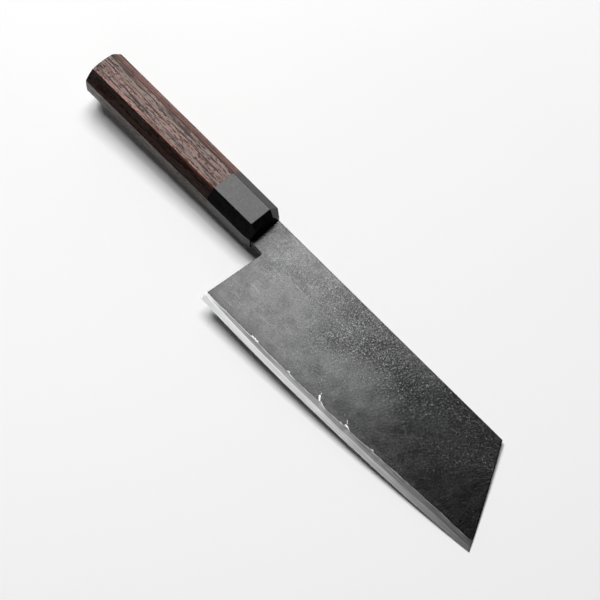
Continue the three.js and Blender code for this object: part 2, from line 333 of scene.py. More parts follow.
class BladeGrid:
    """Rows from spine to edge and columns from the tang's end to the tip, over the outline."""

    def __init__(self, face_step, band_rows, core_rows):
        heel_top = scale_height(np.array([HEEL_CORNER[0]]))[0] + HEEL_CORNER[1]
        span = SPINE_Y - heel_top
        neck_share = (SPINE_Y - NECK_CORNER[1]) / span
        shoulder = SPINE_Y - NECK_LOWER_Y
        self.tang_shares = [
            neck_share * (SPINE_Y - side * TANG_FRONT_HEIGHT / 2) / shoulder for side in (1, -1)
        ]
        self.face_shares = [0.0, neck_share, 1.0, *self.tang_shares]
        if face_step:
            coarse = spaced(span - LINE_ROWS_DEPTH, face_step) * (span - LINE_ROWS_DEPTH)
            close = span - np.arange(LINE_ROW_STEP, LINE_ROWS_DEPTH, LINE_ROW_STEP)
            for share in np.concatenate([close, coarse]) / span:
                gap = min(abs(share - other) for other in self.face_shares)
                if gap > ROW_CLEARANCE / span:
                    self.face_shares.append(share)
        self.face_shares.sort()
        self.neck_share = neck_share
        self.face_rows = len(self.face_shares)
        self.rows = [self.face_row(share) for share in self.face_shares]
        self.rows += [self.band_row(share) for share in np.linspace(0, 1, band_rows + 1)[1:]]
        self.band_end = len(self.rows)
        self.rows += [self.core_row(share) for share in np.linspace(0, 1, core_rows + 1)[1:]]
        self.fill()

    @staticmethod
    def face_row(share):
        return lambda x: lerp(SPINE_Y, edge_y(x) + scale_height(x), share)

    @staticmethod
    def band_row(share):
        return lambda x: edge_y(x) + lerp(scale_height(x), core_height(x), share)

    @staticmethod
    def core_row(share):
        return lambda x: edge_y(x) + lerp(core_height(x), 0.0, share)

    def fill(self):
        """Works out every point, and which of them exist: the neck and the tang are narrower."""
        columns = spaced(TIP[0] - HEEL_CORNER[0], BLADE_STEP)
        neck = np.linspace(0, 1, NECK_COLUMNS + 1)[:-1]
        tang = np.linspace(0, 1, TANG_COLUMNS + 1)[:-1]
        first_neck = len(tang)
        first_blade = first_neck + len(neck)
        shape = (len(self.rows), first_blade + len(columns))
        self.x = np.zeros(shape)
        self.y = np.zeros(shape)
        self.valid = np.zeros(shape, bool)
        for r, row_y in enumerate(self.rows):
            start = meet(row_y, heel_x, HEEL_CORNER[0])
            end = meet(row_y, cut_x, TIP[0])
            x = lerp(start, end, columns)
            self.x[r, first_blade:] = x
            self.y[r, first_blade:] = row_y(x)
            self.valid[r, first_blade:] = True
            if r >= self.face_rows or self.face_shares[r] > self.neck_share + TINY:
                continue
            share = self.face_shares[r] / self.neck_share
            lower = lerp(NECK_LOWER_Y, NECK_CORNER[1], neck)
            self.x[r, first_neck:first_blade] = lerp(SHOULDER_X, NECK_CORNER[0], neck)
            self.y[r, first_neck:first_blade] = lerp(SPINE_Y, lower, share)
            self.valid[r, first_neck:first_blade] = True
            low, high = self.tang_shares
            if not low - TINY <= self.face_shares[r] <= high + TINY:
                continue
            half = lerp(TANG_BACK_HEIGHT, TANG_FRONT_HEIGHT, tang) / 2
            self.x[r, :first_neck] = lerp(-TANG_LENGTH, SHOULDER_X, tang)
            self.y[r, :first_neck] = half * lerp(1, -1, (self.face_shares[r] - low) / (high - low))
            self.valid[r, :first_neck] = True

    def rim_distance(self):
        """Distance in from the spine, the heel and the cut, for points ahead of the neck."""
        heel = np.where(self.y < NECK_CORNER[1], self.x - heel_x(self.y), FAR)
        neck_edge = neck_edge_y(self.x)
        neck = np.where(self.x < NECK_CORNER[0], self.y - neck_edge, FAR)
        neck = np.where(self.y < neck_edge - NECK_TINY, FAR, neck)
        cut = (cut_x(self.y) - self.x) * CUT_SLANT
        return np.minimum.reduce([SPINE_Y - self.y, np.abs(heel), np.abs(neck), cut])


# How far a wall's middle may be off the neck's outline and still be the neck's.
WALL_SLACK, NECK_SLACK = 0.1, 0.05


def plate(name, grid, rows, top, bottom, materials, row_material, neck_material, rim_material):
    """A closed plate over the first rows of a grid, between two height fields."""
    valid = grid.valid[:rows]
    number = np.full(valid.shape, -1)
    number[valid] = np.arange(valid.sum())
    count = int(valid.sum())
    flat = np.stack([grid.x[:rows][valid], grid.y[:rows][valid]], 1) * BLADE_DRAWN_IN
    upper = np.column_stack([flat, top[:rows][valid]])
    lower = np.column_stack([flat, bottom[:rows][valid]])
    cells = valid[:-1, :-1] & valid[1:, :-1] & valid[:-1, 1:] & valid[1:, 1:]
    r, c = np.nonzero(cells)
    quads = np.stack([number[r, c], number[r + 1, c], number[r + 1, c + 1], number[r, c + 1]], 1)
    edges = np.concatenate([quads[:, [k, (k + 1) % 4]] for k in range(4)])
    keys = edges[:, 0] * (2 * count) + edges[:, 1]
    back = edges[:, 1] * (2 * count) + edges[:, 0]
    rim = edges[~np.isin(keys, back)]
    walls = np.stack([rim[:, 0] + count, rim[:, 1] + count, rim[:, 1], rim[:, 0]], 1)
    faces = np.concatenate([quads, quads[:, ::-1] + count, walls])
    x, y = flat[rim].mean(1).T
    below_spine = (y > NECK_CORNER[1] - WALL_SLACK) & (y < SPINE_Y - WALL_SLACK)
    on_neck = below_spine & (x < NECK_CORNER[0] + NECK_SLACK)
    wall_material = np.where(on_neck, neck_material, rim_material)
    kinds = np.concatenate([row_material[r], row_material[r], wall_material])
    vertices = np.concatenate([upper, lower])
    piece = new_object(name, vertices, faces.tolist(), materials, kinds)
    piece.data.set_sharp_from_angle(angle=math.radians(SHARP_ANGLE))
    return piece


# ---------------------------------------------------------------- forged surface

RIM_RADIUS = 0.4
# The rim is rounded less where the blade is thinner than this half thickness.
RIM_FULL_HALF, RIM_LEAST = 1.2, 0.25
DENT_DEPTH = 0.12
DENT_FADE = 2.5
SCALE_LIP = 0.03


def rounded_rim(distance, radius):
    """How far the surface drops near a rim that is rounded over."""
    inside = np.clip(distance, 0, radius)
    return radius - np.sqrt(np.maximum(radius ** 2 - (radius - inside) ** 2, 0))


def forged_dents(grid, seed):
    """Shallow hammer marks and waviness, always inwards, from 0 to about 1."""
    broad = 0.3 * field(grid, 19, 16, seed)
    marks = 0.15 * field(grid, 7.5, 6.5, seed + 5) * lerp(0.4, 1.8, smoothstep(grid.x, 40, 120))
    fine = 0.03 * field(grid, 2.1, 1.9, seed + 9)
    return np.clip(0.5 + broad + marks + fine, 0, 1.2)


def row_numbers(grid):
    """The number of the row that every grid point is in."""
    return np.arange(len(grid.rows))[:, None] * np.ones_like(grid.x)


def outer_surface(grid, seed):
    """Half thickness at every grid point, with the forged face, the ground band and eased rims."""
    x, y = grid.x, grid.y
    height = y - edge_y(x)
    over = height - scale_height(x)
    face = face_half(x, y) - DENT_DEPTH * forged_dents(grid, seed) * np.clip(over / DENT_FADE, 0, 1)
    band = bevel_half(x, height) - SCALE_LIP * (height / scale_height(x))
    half = np.where(row_numbers(grid) >= grid.face_rows, band, face)
    tang = lerp(TANG_BACK_HALF, SPINE_HALF_NECK, np.clip(1 + x / TANG_LENGTH, 0, 1))
    share = np.clip(half / RIM_FULL_HALF, RIM_LEAST, 1)
    drop = rounded_rim(grid.rim_distance(), RIM_RADIUS) * share
    return np.where(x < SHOULDER_X, tang, half - drop)


# ---------------------------------------------------------------- shader helpers

class Shader:
    """A small wrapper that adds nodes to one material."""

    def __init__(self, name):
        self.material = bpy.data.materials.new(name)
        self.material.use_nodes = True
        self.tree = self.material.node_tree
        self.bsdf = self.tree.nodes["Principled BSDF"]
        self.place = self.add("ShaderNodeTexCoord").outputs["Object"]

    def add(self, kind, **settings):
        node = self.tree.nodes.new(kind)
        for key, value in settings.items():
            setattr(node, key, value)
        return node

    def feed(self, socket, value):
        """Links another node's output to a socket, or sets the socket to a plain value."""
        if isinstance(value, bpy.types.NodeSocket):
            self.tree.links.new(value, socket)
        elif value is not None:
            socket.default_value = value

    def stretched(self, scale, offset=(0, 0, 0)):
        """Object coordinates times a scale per axis, in cycles per metre."""
        node = self.add("ShaderNodeMapping")
        self.feed(node.inputs["Vector"], self.place)
        node.inputs["Scale"].default_value = scale
        node.inputs["Location"].default_value = offset
        return node.outputs["Vector"]

    def noise(self, scale, offset=(0, 0, 0), detail=3.0, rough=0.55, distortion=0.0):
        node = self.add("ShaderNodeTexNoise")
        self.feed(node.inputs["Vector"], self.stretched(scale, offset))
        node.inputs["Scale"].default_value = 1.0
        node.inputs["Detail"].default_value = detail
        node.inputs["Roughness"].default_value = rough
        node.inputs["Distortion"].default_value = distortion
        return node.outputs["Fac"]

    def voronoi(self, scale, offset=(0, 0, 0)):
        """The distance to the nearest of some scattered points."""
        node = self.add("ShaderNodeTexVoronoi")
        self.feed(node.inputs["Vector"], self.stretched(scale, offset))
        node.inputs["Scale"].default_value = 1.0
        return node.outputs["Distance"]

    def attribute(self, name):
        """A value that store() has kept on the mesh."""
        return self.add("ShaderNodeAttribute", attribute_name=name).outputs["Fac"]

    def math(self, operation, a, b=None):
        node = self.add("ShaderNodeMath", operation=operation)
        self.feed(node.inputs[0], a)
        self.feed(node.inputs[1], b)
        return node.outputs[0]

    def plus(self, a, b):
        return self.math("ADD", a, b)

    def minus(self, a, b):
        return self.math("SUBTRACT", a, b)

    def times(self, a, b):
        return self.math("MULTIPLY", a, b)

    def most(self, a, b):
        return self.math("MAXIMUM", a, b)

    def ramp(self, value, low, high, to_low=0.0, to_high=1.0):
        """Maps low..high smoothly to to_low..to_high, held at both ends."""
        node = self.add("ShaderNodeMapRange", clamp=True)
        node.interpolation_type = "SMOOTHSTEP"
        for key, number in (("Value", value), ("From Min", low), ("From Max", high),
                            ("To Min", to_low), ("To Max", to_high)):
            self.feed(node.inputs[key], number)
        return node.outputs["Result"]

    def mix(self, factor, a, b):
        """Colours a to b by a factor."""
        node = self.add("ShaderNodeMix", data_type="RGBA")
        self.feed(node.inputs["Factor"], factor)
        for socket, value in ((node.inputs[6], a), (node.inputs[7], b)):
            self.feed(socket, (*value, 1.0) if isinstance(value, tuple) else value)
        return node.outputs[2]

    def bump(self, height, strength, distance):
        node = self.add("ShaderNodeBump")
        node.inputs["Strength"].default_value = strength
        node.inputs["Distance"].default_value = distance
        self.feed(node.inputs["Height"], height)
        return node.outputs["Normal"]

    def brushed(self, amount):
        """Spreads the gloss across the blade, as polish lines along it do."""
        across = self.add("ShaderNodeCombineXYZ")
        across.inputs["Y"].default_value = 1.0
        self.feed(self.bsdf.inputs["Tangent"], across.outputs["Vector"])
        self.bsdf.inputs["Anisotropic"].default_value = amount

    def finish(self, **inputs):
        """Sets the shader's inputs, whose names are written with _ for a space."""
        for key, value in inputs.items():
            socket = self.bsdf.inputs[key.replace("_", " ")]
            self.feed(socket, (*value, 1.0) if isinstance(value, tuple) else value)
        return self.material


# ---------------------------------------------------------------- materials

# Colours are linear, and reliefs are in metres.
SCALE_GREY = (0.043, 0.043, 0.0435)
SCALE_PIT = (0.007, 0.007, 0.007)
# Light specks; on the crinkles they are also painted glints, where the scale would catch the key
# light.
SCALE_SPECK_AND_GLINT = (0.11, 0.11, 0.11)
SCALE_RUBBED = (0.058, 0.058, 0.0585)
# The darkest scale, also used as painted shade by the tip and along the neck's lower edge.
SCALE_DARK_AND_SHADE = (0.009, 0.009, 0.009)
# Bare iron, also used as a painted highlight on the neck by the ferrule.
BARE_IRON_AND_HIGHLIGHT = (0.36, 0.36, 0.36)
SCALE_RELIEF = 0.00018
IRON_DARK, IRON_LIGHT = (0.11, 0.11, 0.111), (0.2, 0.2, 0.201)
# Broad streaks; the bright colour is the polish on the band's borders and strokes, and a painted
# highlight by the heel.
IRON_STREAK, IRON_BRIGHT_AND_HIGHLIGHT = (0.34, 0.34, 0.34), (0.5, 0.5, 0.5)
CORE_DARK, CORE_LIGHT = (0.24, 0.242, 0.244), (0.35, 0.352, 0.354)
BRUSHED = 0.7
HORN_DARK, HORN_LIGHT = (0.0006, 0.0006, 0.0006), (0.003, 0.0028, 0.0026)
HORN_RELIEF = 0.00004


def forge_scale():
    """Black oxide over soft iron: crinkled and pitted by the spine, rubbed lighter by the heel.
    Painted light in it: glints among the specks, shade by the tip and along the neck's lower edge,
    and a highlight by the ferrule.
    """
    s = Shader("forge_scale")
    crinkled, rubbed, dark_and_shade = s.attribute("crinkled"), s.attribute("rubbed"), s.attribute("dark_and_shade")
    cloud = s.noise((120, 120, 120), detail=3.0, rough=0.55)
    crinkle = s.noise((1300, 1300, 1300), detail=2.0, rough=0.65, distortion=0.6)
    grit = s.noise((1300, 1300, 1300), (2, 5, 1), detail=2.0, rough=0.7)
    streak = s.noise((110, 1100, 500), (3, 1, 0), detail=2.0)
    base = s.mix(s.times(rubbed, 0.6), SCALE_GREY, SCALE_RUBBED)
    # painted shade: darkest by the tip, where the key light's reflection fades, and along the
    # neck's lower edge; darker scale by the scale line and the ferrule
    base = s.mix(s.times(dark_and_shade, 0.9), base, SCALE_DARK_AND_SHADE)
    base = s.mix(s.ramp(cloud, 0.42, 0.62, 0.0, 0.3), base, SCALE_PIT)
    base = s.mix(s.times(s.ramp(grit, 0.46, 0.36), 0.35), base, SCALE_PIT)
    base = s.mix(s.times(s.ramp(grit, 0.56, 0.68), 0.2), base, SCALE_SPECK_AND_GLINT)
    # Light specks on the crinkles, strongest by the spine and the tip: partly the scale's own
    # specks, partly painted glints of the key light.
    specks_and_glints = s.times(s.ramp(crinkle, 0.53, 0.68), crinkled)
    base = s.mix(s.times(specks_and_glints, 0.65), base, SCALE_SPECK_AND_GLINT)
    pits = s.times(s.ramp(crinkle, 0.48, 0.36), crinkled)
    base = s.mix(s.times(pits, 0.65), base, SCALE_PIT)
    lines = s.times(s.ramp(streak, 0.6, 0.74), rubbed)
    base = s.mix(s.times(lines, 0.5), base, SCALE_SPECK_AND_GLINT)
    # Bare iron where the grinding bit through, and a painted highlight on the neck by the ferrule.
    base = s.mix(s.attribute("bare"), base, BARE_IRON_AND_HIGHLIGHT)
    rough = s.plus(s.ramp(cloud, 0.3, 0.7, 0.24, 0.2), s.ramp(grit, 0.4, 0.7, 0.0, 0.04))
    height = s.plus(s.times(crinkle, crinkled), s.times(grit, 0.15))
    return s.finish(Base_Color=base, Metallic=1.0, Roughness=rough,
                    Normal=s.bump(height, 1.0, SCALE_RELIEF))


def ground_iron():
    """The soft cladding where it is ground: satin grey with fine lines along the blade."""
    s = Shader("ground_iron")
    lines = s.noise((22, 1500, 500), detail=3.0, rough=0.6)
    broad = s.noise((7, 420, 160), (5, 0, 1), detail=2.0)
    base = s.mix(s.ramp(lines, 0.3, 0.7), IRON_DARK, IRON_LIGHT)
    base = s.mix(s.times(s.ramp(broad, 0.48, 0.68), 0.6), base, IRON_STREAK)
    # Bright borders and bare strokes, and a painted highlight by the heel.
    base = s.mix(s.attribute("bright"), base, IRON_BRIGHT_AND_HIGHLIGHT)
    s.brushed(BRUSHED)
    return s.finish(Base_Color=base, Metallic=1.0, Roughness=s.ramp(lines, 0.3, 0.7, 0.42, 0.36))


def polished_core():
    """Hard core steel along the edge: bright, with the faintest lengthwise polish lines."""
    s = Shader("polished_core")
    lines = s.noise((12, 1300, 420), (2, 3, 4), detail=3.0)
    base = s.mix(s.ramp(lines, 0.25, 0.75), CORE_DARK, CORE_LIGHT)
    s.brushed(BRUSHED)
    return s.finish(Base_Color=base, Metallic=1.0, Roughness=s.ramp(lines, 0.25, 0.75, 0.4, 0.34))


def black_horn():
    """Satin horn: near black with faint lengthwise fibres and a cloudy sheen."""
    s = Shader("black_horn")
    fibre = s.noise((140, 900, 900), detail=4.0, rough=0.6)
    cloud = s.noise((800, 800, 800), (7, 2, 1), detail=3.0, rough=0.65)
    base = s.mix(s.ramp(fibre, 0.35, 0.75), HORN_DARK, HORN_LIGHT)
    rough = s.plus(s.ramp(cloud, 0.32, 0.68, 0.26, 0.32), s.ramp(fibre, 0.4, 0.7, 0.0, 0.03))
    height = s.plus(fibre, s.times(cloud, 0.6))
    return s.finish(Base_Color=base, Roughness=rough, IOR=1.38,
                    Normal=s.bump(height, 0.2, HORN_RELIEF))


WOOD_DARK = (0.008, 0.003, 0.002)
WOOD_BROWN = (0.032, 0.0095, 0.006)
WOOD_RED = (0.155, 0.047, 0.029)
WOOD_PORE = (0.0015, 0.0008, 0.0006)
WOOD_GLOSS = (1.0, 0.8, 0.74)
WOOD_RELIEF = 0.0001
# Growth layers as distances from the handle's middle towards the spine side, in metres: redder
# along that side, where two dark lines run, and in one narrow stripe. Along the edge side the wood
# is painted dark as shade.
LAYER_WANDER = 0.0024
RED_SIDE = (0.0058, 0.0074)
RED_STRIPE = -0.0058
DARK_LINES = (0.0072, 0.0086)
EDGE_SIDE_SHADE = (-0.0066, -0.0078)


def dark_hardwood():
    """Dark reddish brown hardwood: fine lengthwise fibres, redder layers, short open pores, and
    painted shade along the edge side.
    """
    s = Shader("dark_hardwood")
    lengthwise = s.add("ShaderNodeMapping")
    lengthwise.inputs["Rotation"].default_value = KNIFE.to_quaternion().inverted().to_euler()
    s.feed(lengthwise.inputs["Vector"], s.place)
    s.place = lengthwise.outputs["Vector"]
    middle = (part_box("handle_wood")[0].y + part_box("handle_wood")[1].y) / 2
    place = s.add("ShaderNodeSeparateXYZ")
    s.feed(place.inputs[0], s.place)
    wander = s.times(s.noise((16, 90, 90), (2, 0, 0), detail=2.0), LAYER_WANDER)
    level = s.plus(s.minus(place.outputs["Y"], middle + LAYER_WANDER / 2), wander)

    def layer(at, narrow, wide):
        off = s.math("ABSOLUTE", s.minus(level, at))
        return s.ramp(off, narrow, wide, 1.0, 0.0)

    bands = s.noise((5, 420, 420), detail=3.0, rough=0.5)
    fibre = s.noise((45, 1350, 1350), (1, 2, 3), detail=2.0, rough=0.6)
    short = s.ramp(s.voronoi((300, 1500, 1500), (4, 0, 2)), 0.16, 0.34, 1.0, 0.0)
    long = s.ramp(s.voronoi((170, 1250, 1250), (1, 5, 3)), 0.16, 0.34, 1.0, 0.0)
    pores = s.most(short, long)
    red = s.most(s.ramp(level, *RED_SIDE), layer(RED_STRIPE, 0.0004, 0.0013))
    red = s.most(red, s.ramp(bands, 0.5, 0.72, 0.0, 0.5))
    red = s.times(red, s.ramp(fibre, 0.36, 0.56, 0.3, 1.0))
    wide_line, thin_line = DARK_LINES
    lines = s.most(layer(wide_line, 0.00025, 0.0005), layer(thin_line, 0.0001, 0.0003))
    # Growth lines, and painted shade darkening the edge side that faces away from the key light
    dark = s.most(s.times(lines, 0.8), s.ramp(level, *EDGE_SIDE_SHADE, 0.0, 0.75))
    base = s.mix(s.ramp(fibre, 0.38, 0.6), WOOD_DARK, WOOD_BROWN)
    base = s.mix(red, base, WOOD_RED)
    base = s.mix(s.most(pores, dark), base, WOOD_PORE)
    dull = s.most(s.most(pores, lines), s.ramp(fibre, 0.54, 0.38))
    height = s.minus(s.times(fibre, 0.9), s.plus(pores, lines))
    return s.finish(Base_Color=base, Roughness=s.ramp(dull, 0.0, 1.0, 0.27, 0.6), IOR=1.46,
                    Specular_Tint=WOOD_GLOSS, Normal=s.bump(height, 0.45, WOOD_RELIEF))


PALE_WOOD_DARK, PALE_WOOD_LIGHT = (0.52, 0.38, 0.22), (0.74, 0.6, 0.42)
PALE_WOOD_RELIEF = 0.0001
EPOXY_DARK, EPOXY_LIGHT = (0.62, 0.54, 0.38), (0.78, 0.72, 0.56)
WAX_DARK, WAX_LIGHT = (0.02, 0.017, 0.015), (0.05, 0.042, 0.036)
WAX_RELIEF = 0.00005


def pale_wood():
    """The dowel's plain softwood, with a straight lengthwise grain."""
    s = Shader("pale_wood")
    grain = s.noise((14, 600, 600), detail=4.0, distortion=0.4)
    base = s.mix(s.ramp(grain, 0.3, 0.7), PALE_WOOD_DARK, PALE_WOOD_LIGHT)
    return s.finish(Base_Color=base, Roughness=s.ramp(grain, 0.3, 0.7, 0.7, 0.6),
                    Normal=s.bump(grain, 0.3, PALE_WOOD_RELIEF))


def clear_epoxy():
    """Set adhesive: amber, a little cloudy."""
    s = Shader("clear_epoxy")
    cloud = s.noise((200, 200, 200), detail=3.0)
    base = s.mix(s.ramp(cloud, 0.3, 0.7), EPOXY_DARK, EPOXY_LIGHT)
    return s.finish(Base_Color=base, Roughness=s.ramp(cloud, 0.3, 0.7, 0.3, 0.4))


def sealing_wax():
    """Dark wax pressed into the ferrule's slot."""
    s = Shader("sealing_wax")
    cloud = s.noise((700, 700, 700), detail=3.0)
    base = s.mix(s.ramp(cloud, 0.3, 0.7), WAX_DARK, WAX_LIGHT)
    return s.finish(Base_Color=base, Roughness=s.ramp(cloud, 0.3, 0.7, 0.5, 0.65),
                    Normal=s.bump(cloud, 0.3, WAX_RELIEF))


# ---------------------------------------------------------------- wear, marks and painted light on the blade

# Where the grinding has bitten through the scale: how bare, the stroke's half width, and its
# points as (x, height over the scale line).
BARE_STROKES = (
    (0.7, 0.2, (38.3, 0.25), (39.6, 0.1), (40.6, 0.2)),
    (0.6, 0.2, (41.0, 0.1), (42.6, 0.3)),
    (0.6, 0.2, (63.6, 0.1), (64.6, 0.3)),
    (0.3, 0.16, (82.9, 3.9), (83.3, 2.3)),
    (0.8, 0.3, (83.3, 2.2), (84.2, 1.1), (85.0, 0.2)),
    (0.6, 0.22, (85.0, 0.1), (86.6, -0.2), (88.0, -0.1)),
    (0.4, 0.18, (101.3, 3.2), (102.5, 1.9), (102.8, 0.9)),
    (0.75, 0.28, (102.6, 0.6), (104.4, 0.0), (105.0, -0.3)),
    (0.5, 0.2, (99.6, 0.1), (100.8, 0.1)),
    (0.5, 0.2, (119.6, 0.1), (120.9, 0.3)),
)
STROKE_FADE = 1.5
# A painted highlight: the neck is painted bright, as bare iron, in a narrow strip by the ferrule.
NECK_HIGHLIGHT_X, NECK_HIGHLIGHT_SHARE = 0.5, 0.4
# Where the other marks fade, from and to: along the blade (X), across it (Y), or above the line
# where the scale ends (OVER). The heel's brightness is a painted highlight and the tip's darkness
# painted shade; the rest is wear and tone of the scale.
HEEL_HIGHLIGHT_X = (7, 22)
CRINKLED_X, CRINKLED_Y = (30, 75), (-26, -2)
DEEP_TIP_X, DEEP_LINE_OVER, DEEP_FERRULE_X = (76, 136), (0.2, 6.0), (1, 13)
RUBBED_HEEL_X, RUBBED_NECK_X, RUBBED_Y = (18, 96), (2, 16), (-24, -6)
# How far the painted shade, a dark strip along the neck's lower edge, reaches to either side of it.
NECK_STRIP_ABOVE, NECK_STRIP_BELOW = 0.02, 0.2


def bare_and_highlight(grid):
    """How bare the steel is painted at each grid point: worn through at the strokes above, and a
    painted highlight at the neck's end by the ferrule.
    """
    x = grid.x
    over = grid.y - edge_y(x) - scale_height(x)
    stroke = np.zeros(x.shape)
    for shine, width, *points in BARE_STROKES:
        for (x0, y0), (x1, y1) in zip(points, points[1:]):
            dx, dy = x1 - x0, y1 - y0
            t = np.clip(((x - x0) * dx + (over - y0) * dy) / (dx * dx + dy * dy), 0, 1)
            away = np.hypot(x - x0 - t * dx, over - y0 - t * dy)
            stroke = np.maximum(stroke, shine * np.clip(STROKE_FADE - away / width, 0, 1))
    neck_highlight = NECK_HIGHLIGHT_SHARE * (1 - smoothstep(np.abs(x - NECK_HIGHLIGHT_X), 0.2, 0.6))
    return np.maximum(stroke, neck_highlight)


def brightness(grid):
    """Bright places on the ground band: its two borders and the bare strokes, and by the heel a
    painted highlight.
    """
    height = grid.y - edge_y(grid.x)
    from_scale = scale_height(grid.x) - height
    from_core = height - core_height(grid.x)
    strength = 0.55 + 0.45 * wave(grid.x, 5.0, 2.2)
    top = strength * (1 - smoothstep(from_scale, 0.12, 0.5))
    low = 0.5 * (1 - smoothstep(from_core, 0.1, 0.45))
    # painted highlight: the band is painted brighter by the heel, where it catches the key light
    heel = 0.6 * (1 - smoothstep(grid.x, *HEEL_HIGHLIGHT_X))
    return np.clip(np.maximum.reduce([top, low, heel, bare_and_highlight(grid)]), 0, 1)


def crinkling(grid, seed):
    """How crinkled the scale is: most by the spine and the tip, least low down by the heel."""
    drift = 9 * field(grid, 26, 18, seed)
    worn = lerp(0.38, 1.0, smoothstep(grid.x + drift, *CRINKLED_X))
    return worn * lerp(0.25, 1.0, smoothstep(grid.y + drift, *CRINKLED_Y))


def scale_darkness_and_shade(grid, seed):
    """How dark the scale is: most by the tip and the neck's lower edge, less by the scale line and
    the ferrule. By the tip it is painted shade where the key light's reflection fades, and along
    the neck's lower edge it is painted shade too.
    """
    blotches = 16 * field(grid, 22, 15, seed) + 5 * field(grid, 7, 5, seed + 1)
    over_neck_edge = grid.y - neck_edge_y(grid.x)
    by_neck = (over_neck_edge < NECK_STRIP_ABOVE) & (grid.y > NECK_CORNER[1] - NECK_STRIP_BELOW)
    # painted shade: a near-black strip along the neck's lower edge and its wall, where the floor it
    # would reflect lies in shadow
    neck_shade = (grid.x < NECK_CORNER[0]) & by_neck
    over = grid.y - edge_y(grid.x) - scale_height(grid.x)
    by_line = 0.5 * (1 - smoothstep(over, *DEEP_LINE_OVER))
    by_ferrule = 0.35 * (1 - smoothstep(grid.x, *DEEP_FERRULE_X))
    # painted shade: darker towards the tip in blotches, where the key light's reflection fades
    by_tip = smoothstep(grid.x + blotches, *DEEP_TIP_X)
    dark_and_shade = np.maximum.reduce([by_tip, by_line, by_ferrule])
    return np.where(neck_shade, 1.0, dark_and_shade)


def rubbing(grid, seed):
    """Where the scale is rubbed lighter: the heel half, most of all ahead of the neck."""
    patch = field(grid, 14, 9, seed)
    ahead_of_neck = lerp(0.2, 1.0, smoothstep(grid.x, *RUBBED_NECK_X))
    heel = (1 - smoothstep(grid.x, *RUBBED_HEEL_X)) * ahead_of_neck
    upper = smoothstep(grid.y, *RUBBED_Y)
    return np.clip(heel * (0.45 + 0.55 * upper) * (0.7 + 0.6 * patch), 0, 1)


def store(piece, grid, rows, name, values):
    """Keeps a value per grid point on both faces of a plate, for its material to read."""
    attribute = piece.data.attributes.new(name, "FLOAT", "POINT")
    flat = values[:rows][grid.valid[:rows]]
    attribute.data.foreach_set("value", np.tile(flat, 2).astype(np.float32))


# ---------------------------------------------------------------- blade pieces

# The cladding's two materials, by slot, and the core's.
FACE, BAND = 0, 1
CORE_STEEL, CORE_NECK = 0, 1
# Gaps between the layers, so that no two surfaces lie in one place.
LAYER_GAP, EDGE_GAP = 0.008, 0.004
CORE_FROM_X = 5


def layer_half(grid):
    """Half thickness of the core between the two claddings, at every grid point."""
    under = core_half(np.maximum(grid.x, CORE_FROM_X))
    return np.where(grid.x < SHOULDER_X, TANG_CORE_HALF, under)


def add_cladding(name, node, grid, seed, side, scale, ground):
    """One soft iron layer, on the side of the blade that faces +Z or -Z."""
    inner = layer_half(grid)
    outer = np.maximum(outer_surface(grid, seed), inner + LAYER_GAP)
    rows = grid.band_end
    kinds = np.where(np.arange(rows) < grid.face_rows - 1, FACE, BAND)
    top, bottom = (outer, inner) if side > 0 else (-inner, -outer)
    piece = plate(name, grid, rows, top, bottom, [scale, ground], kinds, FACE, BAND)
    store(piece, grid, rows, "bare", bare_and_highlight(grid))
    store(piece, grid, rows, "crinkled", crinkling(grid, seed + 3))
    store(piece, grid, rows, "rubbed", rubbing(grid, seed + 7))
    store(piece, grid, rows, "dark_and_shade", scale_darkness_and_shade(grid, seed + 8))
    store(piece, grid, rows, "bright", brightness(grid))
    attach(piece, "root")
    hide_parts(node)


def add_core(grid, steel, scale):
    """The hard steel between the claddings, which comes out along the edge."""
    inner = layer_half(grid)
    bare = np.minimum(outer_surface(grid, 0.0), inner - EDGE_GAP)
    half = np.where(row_numbers(grid) < grid.band_end - 1, inner - LAYER_GAP, bare)
    rows = len(grid.rows)
    kinds = np.full(rows, CORE_STEEL)
    materials = [steel, scale]
    piece = plate("blade_core", grid, rows, half, -half, materials, kinds, CORE_NECK, CORE_STEEL)
    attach(piece, "root")
    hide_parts("core_steel")


scale, ground = forge_scale(), ground_iron()
fine_grid = BladeGrid(face_step=ROW_STEP, band_rows=16, core_rows=0)
add_cladding("blade_cladding_upper", "cladding_upper", fine_grid, 2.0, 1, scale, ground)
add_cladding("blade_cladding_lower", "cladding_lower", fine_grid, 31.0, -1, scale, ground)
add_core(BladeGrid(face_step=None, band_rows=2, core_rows=10), polished_core(), scale)


# ---------------------------------------------------------------- handle rings

SIDE_POINTS = 6
CORNER_POINTS = 5


def octagon_corners(x, spine=0.0, edge=0.0, face=0.0):
    """The section's eight corners at x in (y, z), drawn in at the spine, the edge and the faces."""
    width, thickness = handle_size(x)
    high, low, top = width / 2 - spine, -width / 2 + edge, thickness / 2 - face
    corner = CORNER_CUT - (2 - math.sqrt(2)) * face
    return [
        (high, corner - top), (high, top - corner),
        (high - corner, top), (low + corner, top),
        (low, top - corner), (low, corner - top),
        (low + corner, -top), (high - corner, -top),
    ]


